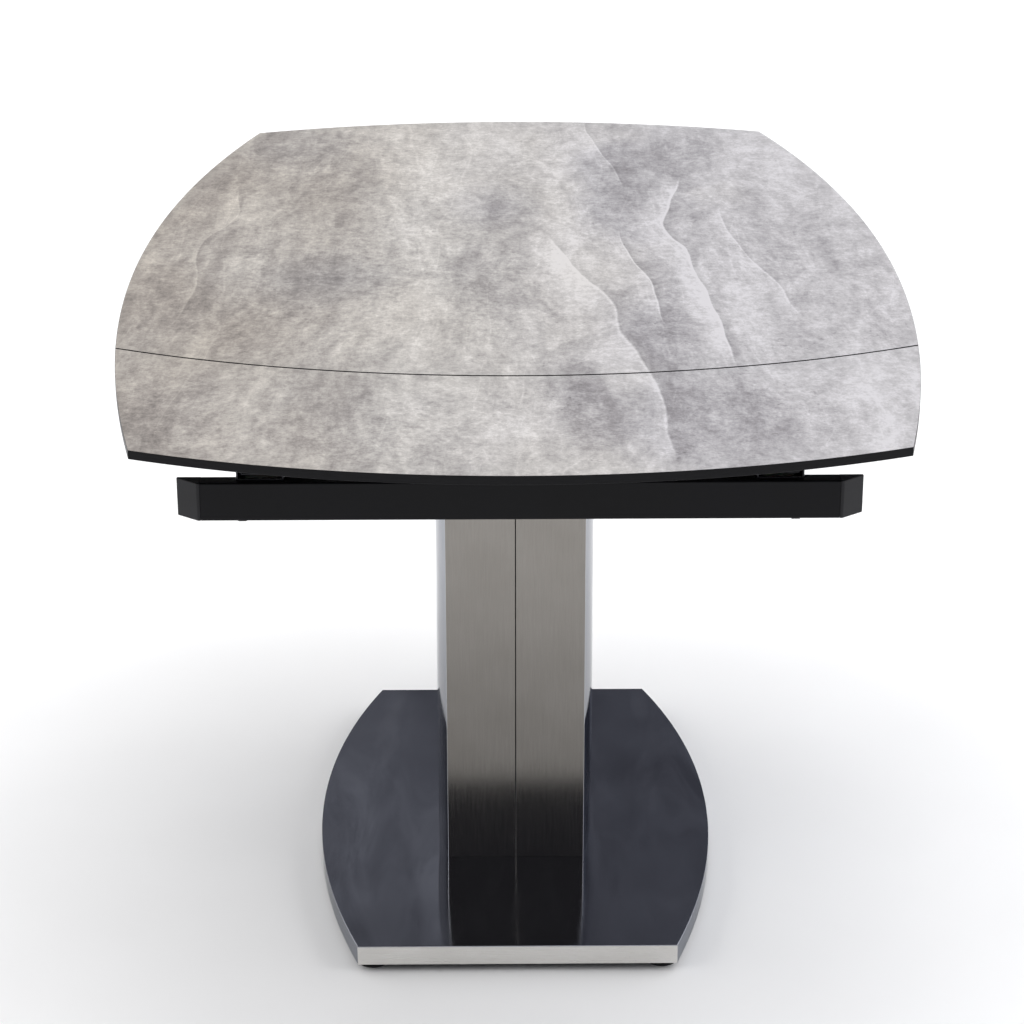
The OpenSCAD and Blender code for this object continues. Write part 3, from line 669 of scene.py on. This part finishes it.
# ---------------------------------------------------------------------------------------------------
# Bars and spacers under the main top
# Two flat steel bars are screwed up into the main board, and six welded blocks carry them on the rails,
# high enough for the stored leaf to pass under. Both are powder coated with the frame.

eased_copy("main_top_bars", "main_support_bars", powder_coat, radius_mm=0.6)
eased_copy("main_top_blocks", "main_spacers", powder_coat, radius_mm=1.0)
bar_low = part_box("main_support_bars")[0]
bar_screws = [pan_screw(sx * (rail_x + side * 18 * MM), y, bar_low.z, -1)
              for sx in (-1, 1) for side in (-1, 1)
              for y in (bar_low.y + 25 * MM, -120 * MM, 120 * MM, 220 * MM, 420 * MM, 540 * MM)]
finished("main_bar_screws", gathered(bar_screws), [zinc], "root", "zinc_steel")

# ---------------------------------------------------------------------------------------------------
# Stone sheets and black boards of the tops
# Each top is a 3 mm sintered stone sheet glued to a 6 mm black board, cut to the same barrel outline
# with arcs along the sides, ends and joint. The edge of stone and board is sealed satin black.

SIDE_R = 3.3
END_R = 0.9
SEAM_GAP = 3 * MM

edge_black = surface("satin_black_sealed_edge", "#0e0e10", roughness=0.42, Specular_IOR_Level=0.12)
place = add(edge_black, "TexCoord").outputs["Object"]
sanded = add(edge_black, "Mapping", {"Scale": (1.0, 1.0, 8.0)}, {"Vector": place}).outputs["Vector"]
marks = add(edge_black, "TexNoise", {"Scale": per_metre(12), "Detail": 5.0}, {"Vector": sanded})
gloss = add(edge_black, "MapRange", {"To Min": 0.28, "To Max": 0.46}, {"Value": marks.outputs["Fac"]})
tone = add(edge_black, "ValToRGB", {"stops": [(0.35, "#0c0c0e"), (0.7, "#131315")]},
           {"Fac": marks.outputs["Fac"]})
feed(edge_black, Base_Color=tone.outputs["Color"], Roughness=gloss.outputs["Result"])

# Sintered stone is printed and pressed with a limestone figure: long clouds along the table, fine pits,
# warm beige passing into cool grey, and a few pale veins. Over the figure, painted light makes the sheet
# lighter and cooler in cast towards +X. It is matt, with a barely felt texture.
stone = surface("sintered_limestone_sheet", "#bbb7b5", roughness=0.5)
place = add(stone, "TexCoord").outputs["Object"]
layer = add(stone, "VectorMath", {"operation": "MULTIPLY", 1: (1.0, 0.4, 45.0)}, {0: place})
drift = add(stone, "TexNoise", {"Scale": per_metre(150), "Detail": 2.0, "Roughness": 0.45},
            {"Vector": layer.outputs["Vector"]})
swing = add(stone, "VectorMath", {"operation": "MULTIPLY_ADD", 1: (0.06, 0.2, 0.0), 2: (-0.03, -0.1, 0.0)},
            {0: drift.outputs["Color"]})
flow = add(stone, "VectorMath", {"operation": "ADD"},
           {0: place, 1: swing.outputs["Vector"]}).outputs["Vector"]


def figure(stretch_y, size_mm, detail, roughness, distortion=0.0):
    """Noise that runs along the table: size across, and how much of the length one repeat takes up."""
    run = add(stone, "VectorMath", {"operation": "MULTIPLY", 1: (1.0, stretch_y, 45.0)},
              {0: flow if size_mm > 12 else place})
    noise = add(stone, "TexNoise", {"Scale": per_metre(size_mm), "Detail": detail, "Roughness": roughness,
                                    "Distortion": distortion}, {"Vector": run.outputs["Vector"]})
    return noise.outputs["Fac"]


def into(total, share, source):
    """Adds a share of one value to a running total."""
    step = add(stone, "Math", {"operation": "MULTIPLY_ADD", 1: share}, {0: source})
    if isinstance(total, float):
        step.inputs[2].default_value = total
    else:
        stone.node_tree.links.new(total, step.inputs[2])
    return step.outputs["Value"]


# Layers of figure: (share, stretch along Y, size across in mm, detail, roughness, distortion)
LAYERS = [(0.3, 0.3, 110, 3.0, 0.6, 0.0), (0.8, 0.16, 40, 5.0, 0.68, 0.0), (1.3, 0.4, 20, 6.0, 0.75, 0.0),
          (0.9, 0.9, 9, 4.0, 0.75, 0.0), (0.5, 1.0, 3.0, 2.0, 0.6, 0.0)]
tone = 0.59 - 0.5 * sum(layer[0] for layer in LAYERS)
for share, *shape_of_layer in LAYERS:
    tone = into(tone, share, figure(*shape_of_layer))

# Clouds in the print: (x, y, half width, half length in mm, lightness, coolness)
CLOUDS = [(-110, 450, 110, 520, 0.22, 0.0), (-120, -220, 80, 420, 0.2, 0.0), (65, 20, 70, 340, 0.3, 0.1),
          (75, 560, 70, 300, 0.16, 0.0), (-20, 660, 110, 220, 0.2, 0.0), (235, -260, 80, 300, 0.2, 0.2),
          (370, 560, 110, 260, 0.14, 0.3), (-345, 240, 45, 170, 0.24, 0.1), (-15, -640, 90, 260, 0.2, 0.0),
          (340, -600, 110, 240, 0.16, 0.1), (-45, -90, 80, 300, -0.16, 0.0), (-25, 250, 60, 170, -0.2, 0.3),
          (160, 480, 100, 200, -0.28, 0.6), (155, 250, 90, 200, -0.16, 0.5), (260, 560, 70, 200, -0.14, 0.5),
          (-215, -120, 90, 150, -0.2, 0.2), (-395, -180, 90, 190, -0.26, -0.1),
          (-370, 350, 70, 320, -0.14, -0.2), (-225, 280, 110, 420, -0.14, -0.2),
          (165, -330, 90, 330, -0.16, 0.4), (190, -670, 130, 190, -0.2, 0.5),
          (-175, -600, 60, 240, -0.22, -0.1), (320, -80, 140, 420, -0.05, 0.4),
          (-330, 640, 110, 200, -0.12, 0.1), (-350, -620, 90, 260, -0.2, -0.2),
          (70, -560, 50, 210, -0.24, 0.1), (-300, -330, 100, 240, -0.12, -0.3)]
cool = 0.42
cool = into(cool, 0.34, figure(0.3, 130, 3.0, 0.5))
for x, y, half_x, half_y, lightness, coolness in CLOUDS:
    spot = add(stone, "Mapping", {"vector_type": "TEXTURE", "Location": (x * MM, y * MM, 0.0),
                                  "Scale": (half_x * MM, half_y * MM, 1000.0)}, {"Vector": flow})
    fade = add(stone, "TexGradient", {"gradient_type": "SPHERICAL"}, {"Vector": spot.outputs["Vector"]})
    tone = into(tone, lightness, fade.outputs["Fac"])
    if coolness:
        cool = into(cool, coolness * 0.6, fade.outputs["Fac"])

axes = add(stone, "SeparateXYZ", {}, {0: flow})
along = add(stone, "MapRange", {"From Min": -0.8, "From Max": 0.8}, {"Value": axes.outputs["Y"]})
# Painted light: the top is made lighter, and its cast cooler, towards +X, the side the light falls from.
rightward_painted_cool_light = into(-0.18, 0.9, axes.outputs["X"])
tone = into(tone, 0.35, axes.outputs["X"])
cool = into(0.18, 1.0, add(stone, "Math", {"operation": "ADD"}, {0: cool, 1: rightward_painted_cool_light}).outputs["Value"])

# Pale veins: the line each follows as (y, x) in mm, how far its glow reaches, and its lightness
VEINS = [([(400, 222), (200, 192), (0, 203), (-180, 214), (-440, 222)], 34, 0.75),
         ([(90, 138), (-20, 141), (-140, 152), (-300, 165)], 20, 0.6),
         ([(800, 112), (650, 122), (500, 140), (380, 146)], 26, 0.4),
         ([(60, 40), (-60, 72), (-190, 108), (-380, 118), (-560, 128), (-760, 140)], 44, 0.5),
         ([(180, 262), (60, 268), (-80, 292), (-220, 312)], 30, 0.4),
         ([(-300, -372), (-120, -366), (60, -384), (200, -352), (330, -362)], 30, 0.25)]
across = add(stone, "MapRange", {"From Min": -0.45, "From Max": 0.45}, {"Value": axes.outputs["X"]})
for line, reach, lightness in VEINS:
    course = add(stone, "FloatCurve", {}, {"Value": along.outputs["Result"]})
    curve = course.mapping.curves[0]
    points = sorted(((y + 800) / 1600, (x + 450) / 900) for y, x in line)
    for point in points[1:-1]:
        curve.points.new(*point)
    curve.points[0].location = points[0]
    curve.points[-1].location = points[-1]
    course.mapping.update()
    aside = add(stone, "Math", {"operation": "SUBTRACT"},
                {0: across.outputs["Result"], 1: course.outputs["Value"]})
    near = add(stone, "MapRange", {"From Min": -reach / 900, "From Max": reach / 900},
               {"Value": aside.outputs["Value"]})
    glow = add(stone, "ValToRGB", {"stops": [(0.0, 0.2), (0.2, 0.45), (0.46, 0.6), (0.5, 1.0), (0.53, 0.0),
                                             (0.85, 0.2)]}, {"Fac": near.outputs["Result"]})
    glow = add(stone, "Math", {"operation": "SUBTRACT", 1: 0.2}, {0: glow.outputs["Color"]})
    first, last = points[0][0], points[-1][0]
    ends = add(stone, "ValToRGB", {"stops": [(max(0.0, first - 0.03), 0.0), (first + 0.03, 1.0),
                                             (last - 0.03, 1.0), (min(1.0, last + 0.03), 0.0)]},
               {"Fac": along.outputs["Result"]})
    kept = add(stone, "Math", {"operation": "MULTIPLY"}, {0: glow.outputs["Value"], 1: ends.outputs["Color"]})
    tone = into(tone, lightness, kept.outputs["Value"])

# Wandering hairline veins, where a stretched noise crosses its middle value
ridge = add(stone, "Math", {"operation": "SUBTRACT", 1: 0.5}, {0: figure(0.2, 170, 3.0, 0.5, 1.2)})
ridge = add(stone, "Math", {"operation": "ABSOLUTE"}, {0: ridge.outputs["Value"]})
hairline = add(stone, "MapRange", {"From Min": 0.0, "From Max": 0.009, "To Min": 1.0, "To Max": 0.0},
               {"Value": ridge.outputs["Value"]})
tone = into(tone, 0.1, hairline.outputs["Result"])

# Pits: small dark specks, in groups
pits = add(stone, "MapRange", {"From Min": 0.62, "From Max": 0.72}, {"Value": figure(0.55, 7, 3.0, 0.6)})
groups = add(stone, "MapRange", {"From Min": 0.48, "From Max": 0.62}, {"Value": figure(0.35, 75, 3.0, 0.6)})
pitted = add(stone, "Math", {"operation": "MULTIPLY"},
             {0: pits.outputs["Result"], 1: groups.outputs["Result"]})
tone = into(tone, -0.3, pitted.outputs["Value"])

grey = add(stone, "ValToRGB", {"stops": [(0.0, "#6c6866"), (0.3, "#8b8785"), (0.5, "#9f9c99"),
                                         (0.7, "#b1aeaa"), (1.0, "#cac7c3")]}, {"Fac": tone})
cast = add(stone, "ValToRGB", {"stops": [(0.15, "#fff9f0"), (0.5, "#fdfcfb"), (0.85, "#f4f5fd")]},
           {"Fac": cool})
printed = add(stone, "MixRGB", {"blend_type": "MULTIPLY", "Fac": 1.0},
              {"Color1": grey.outputs["Color"], "Color2": cast.outputs["Color"]})
sheen = add(stone, "MapRange", {"From Min": 0.2, "From Max": 0.8, "To Min": 0.42, "To Max": 0.58},
            {"Value": tone})
texture = add(stone, "Bump", {"Strength": 0.25, "Distance": 0.12 * MM}, {"Height": tone})
feed(stone, Base_Color=printed.outputs["Color"], Roughness=sheen.outputs["Result"],
     Normal=texture.outputs["Normal"])

main_low, main_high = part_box("main_stone")
tip = main_high.y
half_w = main_high.x
left_centre, right_centre = (SIDE_R - half_w, 0), (half_w - SIDE_R, 0)
front_centre, rear_centre = (0, END_R - tip), (0, tip - END_R)
seam_tip = main_low.y - SEAM_GAP / 2


def meeting(centre, radius, front):
    """Where the right side arc meets an end or joint arc, which curves to the front or to the rear."""
    both = intersect_sphere_sphere_2d(right_centre, SIDE_R, centre, radius)
    right_side = [p for p in both if p.x > 0 and (p.y < centre[1]) == front]
    return tuple(right_side[0])


def sheet_pair(name, outline, stone_node, board_node):
    """A stone sheet and the board under it, cut to one outline, with black edges and a fine top arris."""
    body = frame["nodes"][stone_node]["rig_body"]
    low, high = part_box(stone_node)
    sheet = plate(outline, low.z, high.z)
    ease(sheet, rim(sheet, high.z), 0.7, segments=3)
    for face in sheet.faces:
        face.normal_update()
        face.material_index = 0 if abs(face.normal.z) > 0.95 else 1
    finished(name + "_stone_sheet", sheet, [stone, edge_black], body, "stone", stone_node)
    low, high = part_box(board_node)
    board = plate(outline, low.z, high.z)
    ease(board, rim(board, low.z), 0.8, segments=3)
    finished(name + "_black_board", board, [edge_black], body, "black_board", board_node)


def flipped(point):
    """The same point on the left half."""
    return (-point[0], point[1])


rear_corner = meeting(rear_centre, END_R, front=False)
main_seam_centre = (0, seam_tip + SEAM_GAP / 2 + END_R)
main_seam_end = meeting(main_seam_centre, END_R, front=True)
main_outline = [(main_seam_end, rear_corner, right_centre), (rear_corner, flipped(rear_corner), rear_centre),
                (flipped(rear_corner), flipped(main_seam_end), left_centre),
                (flipped(main_seam_end), main_seam_end, main_seam_centre)]
sheet_pair("main", main_outline, "main_stone", "main_board")

# ---------------------------------------------------------------------------------------------------
# Bushes and gasket of the joint
# Turned brass bushes in the main board's edge take the end leaf's pins. A soft black strip along the
# edge closes the joint against crumbs, just below the surface.

brass = surface("turned_brass", "#b8954f", roughness=0.24, metallic=1.0)
place = add(brass, "TexCoord").outputs["Object"]
rings = add(brass, "Mapping", {"Scale": (0.2, 1.0, 0.2)}, {"Vector": place}).outputs["Vector"]
lathe = add(brass, "TexNoise", {"Scale": per_metre(0.35), "Detail": 2.0}, {"Vector": rings})
tarnish = add(brass, "TexNoise", {"Scale": per_metre(6), "Detail": 4.0}, {"Vector": place})
tone = add(brass, "ValToRGB", {"stops": [(0.3, "#a5803c"), (0.7, "#c6a55e")]},
           {"Fac": tarnish.outputs["Fac"]})
gloss = add(brass, "MapRange", {"To Min": 0.16, "To Max": 0.34}, {"Value": lathe.outputs["Fac"]})
feed(brass, Base_Color=tone.outputs["Color"], Roughness=gloss.outputs["Result"])
eased_copy("joint_bushes", "main_dowel_bushes", brass, radius_mm=0.15)
finish_node("seam_gasket", rubber)

# ---------------------------------------------------------------------------------------------------
# End leaf
# The end leaf is cut from the same sheet as the main top. Two steel spacer bars screw to its board and
# stand on the inner runners; a cross bar ties them, and three brass pins find the bushes as it shuts.

front_corner = meeting(front_centre, END_R, front=True)
end_seam_centre = (0, seam_tip - SEAM_GAP / 2 + END_R)
end_seam_end = meeting(end_seam_centre, END_R, front=True)
end_outline = [(front_corner, end_seam_end, right_centre),
               (end_seam_end, flipped(end_seam_end), end_seam_centre),
               (flipped(end_seam_end), flipped(front_corner), left_centre),
               (flipped(front_corner), front_corner, front_centre)]
sheet_pair("end_leaf", end_outline, "end_stone", "end_board")
eased_copy("end_leaf_spacer_bars", "end_spacer_bars", powder_coat, radius_mm=0.8)
eased_copy("end_leaf_cross_bar", "end_cross_bar", powder_coat, radius_mm=0.8)
eased_copy("end_leaf_pins", "end_dowels", brass, radius_mm=0.5)
eased_copy("latch_keeper_brackets", "end_keepers", zinc, radius_mm=0.5)
tie_low, tie_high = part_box("end_cross_bar")
tie_y = (tie_low.y + tie_high.y) / 2
tie_screws = [pan_screw(x * MM, tie_y, tie_low.z, -1) for x in (-180, -60, 60, 180)]
finished("end_leaf_tie_screws", gathered(tie_screws), [zinc], "end_leaf", "zinc_steel")

# ---------------------------------------------------------------------------------------------------
# Insert leaf
# A stone-faced leaf as deep as the end leaf's travel lies under the main top. Its two edges follow the
# joint's arc, its ends are straight, and it rides on nylon skids over the inner runners.

leaf_low, leaf_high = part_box("insert_stone")
leaf_x = leaf_high.x
front_tip = leaf_low.y
arc_depth = END_R - math.sqrt(END_R ** 2 - leaf_x ** 2)
rear_tip = leaf_high.y - arc_depth
leaf_front_y, leaf_rear_y = front_tip + arc_depth, rear_tip + arc_depth
leaf_outline = [((leaf_x, leaf_front_y), (leaf_x, leaf_rear_y), None),
                ((leaf_x, leaf_rear_y), (-leaf_x, leaf_rear_y), (0, rear_tip + END_R)),
                ((-leaf_x, leaf_rear_y), (-leaf_x, leaf_front_y), None),
                ((-leaf_x, leaf_front_y), (leaf_x, leaf_front_y), (0, front_tip + END_R))]
sheet_pair("insert_leaf", leaf_outline, "insert_stone", "insert_board")
eased_copy("insert_leaf_skids", "insert_skids", nylon, radius_mm=0.8)

# ---------------------------------------------------------------------------------------------------
# Latches
# On each rail a pressed steel lever turns on a shouldered pin. Turned up, its hook catches the pin on
# the end leaf's bracket; let down, it hangs by its own weight. A ribbed plastic sleeve covers the end.

eased_copy("latch_pivot_brackets", "latch_brackets", zinc, radius_mm=0.6)
for side, way in (("left", -1), ("right", 1)):
    body = "latch_" + side
    eased_copy("latch_hook_" + side, "latch_lever_" + side, zinc, radius_mm=0.6)
    grip = merged("latch_grip_" + side)
    ease(grip, sharp_edges(grip), 0.8, segments=3)
    grip_low, grip_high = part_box("latch_grip_" + side)
    middle = (grip_low + grip_high) / 2
    for rib in range(5):
        ring = bmesh.ops.create_cube(grip, size=1.0)["verts"]
        width, depth = grip_high.x - grip_low.x, grip_high.y - grip_low.y
        bmesh.ops.scale(grip, vec=(width + 0.8 * MM, depth + 0.8 * MM, 1.6 * MM), verts=ring)
        bmesh.ops.translate(grip, verts=ring, vec=(middle.x, middle.y, grip_low.z + (6 + 4.5 * rib) * MM))
        around = {e for v in ring for e in v.link_edges}
        ease(grip, list(around), 0.35)
    finished("latch_handle_sleeve_" + side, grip, [plastic], body, "black_plastic", "latch_grip_" + side)

# ---------------------------------------------------------------------------------------------------
# Studio
# A pale seamless floor, with soft light from overhead and wide on both sides. The room is pale low
# down and hung with dark drapes above, with paler screens between them, and the polished steel shows it.

floor_paint = surface("white_paper_floor", "#f4f4f4", roughness=0.95)
place = add(floor_paint, "TexCoord").outputs["Object"]
paper = add(floor_paint, "TexNoise", {"Scale": per_metre(400), "Detail": 2.0}, {"Vector": place})
tone = add(floor_paint, "ValToRGB", {"stops": [(0.3, "#f2f2f2"), (0.7, "#f6f6f6")]},
           {"Fac": paper.outputs["Fac"]})
feed(floor_paint, Base_Color=tone.outputs["Color"])
floor_shape = bmesh.new()
bmesh.ops.create_grid(floor_shape, x_segments=8, y_segments=8, size=60.0)
floor_mesh = bpy.data.meshes.new("studio_floor")
floor_shape.to_mesh(floor_mesh)
floor_shape.free()
floor_mesh.materials.append(floor_paint)
floor = bpy.data.objects.new("studio_floor", floor_mesh)
bpy.context.scene.collection.objects.link(floor)

studio = bpy.data.worlds.new("studio")
studio.use_nodes = True
bpy.context.scene.world = studio
direction = add(studio, "TexCoord").outputs["Generated"]
toward = add(studio, "SeparateXYZ", {}, {0: direction})
# Stops are the sine of the height above the horizon: a pale skirting, dark drapes, a pale ceiling
drapes = add(studio, "ValToRGB", {"stops": [(0.0, "#d8d8d8"), (0.1, "#c8c8c8"), (0.22, "#9c9ca0"),
                                            (0.34, "#5c5d64"), (0.6, "#48484d"), (0.85, "#9a9a9c"),
                                            (1.0, "#d8d8d8")]}, {"Fac": toward.outputs["Z"]})
screens = add(studio, "ValToRGB", {"stops": [(0.0, "#e0e0e0"), (0.12, "#d0d0d0"), (0.28, "#bcbdc0"),
                                             (0.44, "#94969d"), (0.6, "#83858c"), (0.85, "#a4a4a6"),
                                             (1.0, "#d8d8d8")]}, {"Fac": toward.outputs["Z"]})
hung = add(studio, "Mapping", {"Scale": (1.0, 1.0, 0.4), "Location": (2.3, 0.4, 0.0)}, {"Vector": direction})
gaps = add(studio, "TexNoise", {"Scale": 9.0, "Detail": 2.0, "Roughness": 0.5},
           {"Vector": hung.outputs["Vector"]})
open_gap = add(studio, "MapRange", {"From Min": 0.4, "From Max": 0.6, "To Min": 0.0, "To Max": 1.0},
               {"Value": gaps.outputs["Fac"]})
behind = add(studio, "MapRange", {"From Min": -0.3, "From Max": 0.5, "To Min": 0.12, "To Max": 1.0},
             {"Value": toward.outputs["Y"]})
shown = add(studio, "Math", {"operation": "MULTIPLY"},
            {0: open_gap.outputs["Result"], 1: behind.outputs["Result"]})
room = add(studio, "MixRGB", {}, {"Fac": shown.outputs["Value"], "Color1": drapes.outputs["Color"],
                                  "Color2": screens.outputs["Color"]})
sides = add(studio, "MapRange", {"From Min": -1.0, "From Max": 1.0}, {"Value": toward.outputs["X"]})
cast = add(studio, "ValToRGB", {"stops": [(0.2, "#e9e4df"), (0.5, "#f4f4f4"), (0.7, "#e7ebf9")]},
           {"Fac": sides.outputs["Result"]})
lit = add(studio, "MixRGB", {"blend_type": "MULTIPLY", "Fac": 1.0},
          {"Color1": room.outputs["Color"], "Color2": cast.outputs["Color"]})
background = studio.node_tree.nodes["Background"]
studio.node_tree.links.new(lit.outputs["Color"], background.inputs["Color"])
background.inputs["Strength"].default_value = 1.0


def soft_sun(name, azimuth, elevation, strength, spread):
    """A very wide distant light. Azimuth 0 stands behind the camera and 90 on the right, in degrees."""
    light = bpy.data.lights.new(name, "SUN")
    light.energy = strength
    light.angle = math.radians(spread)
    lamp = bpy.data.objects.new(name, light)
    around, up = math.radians(azimuth), math.radians(elevation)
    source = Vector((math.sin(around) * math.cos(up), -math.cos(around) * math.cos(up), math.sin(up)))
    lamp.rotation_euler = source.to_track_quat("Z", "Y").to_euler()
    bpy.context.scene.collection.objects.link(lamp)


soft_sun("overhead_softbox", azimuth=165, elevation=78, strength=1.2, spread=50)
soft_sun("front_left_fill", azimuth=-58, elevation=38, strength=0.6, spread=40)
soft_sun("front_right_fill", azimuth=58, elevation=38, strength=0.6, spread=40)
soft_sun("left_fill", azimuth=-108, elevation=34, strength=1.4, spread=76)
soft_sun("right_fill", azimuth=108, elevation=34, strength=1.7, spread=76)

EYE = (-0.026, -2.966, 1.514)
HEADING = -0.0078
TILT_DEGREES = 70
ROLL = -0.0017
camera = bpy.data.cameras.new("camera")
camera.lens = 89.9
camera.sensor_width = 36.0
camera.clip_end = 200.0
viewer = bpy.data.objects.new("camera", camera)
viewer.matrix_world = (Matrix.Translation(EYE) @ Matrix.Rotation(HEADING, 4, "Z")
                       @ Matrix.Rotation(math.radians(TILT_DEGREES), 4, "X") @ Matrix.Rotation(ROLL, 4, "Z"))
bpy.context.scene.collection.objects.link(viewer)
bpy.context.scene.camera = viewer
bpy.context.scene.view_settings.view_transform = "Standard"

bpy.context.view_layer.update()
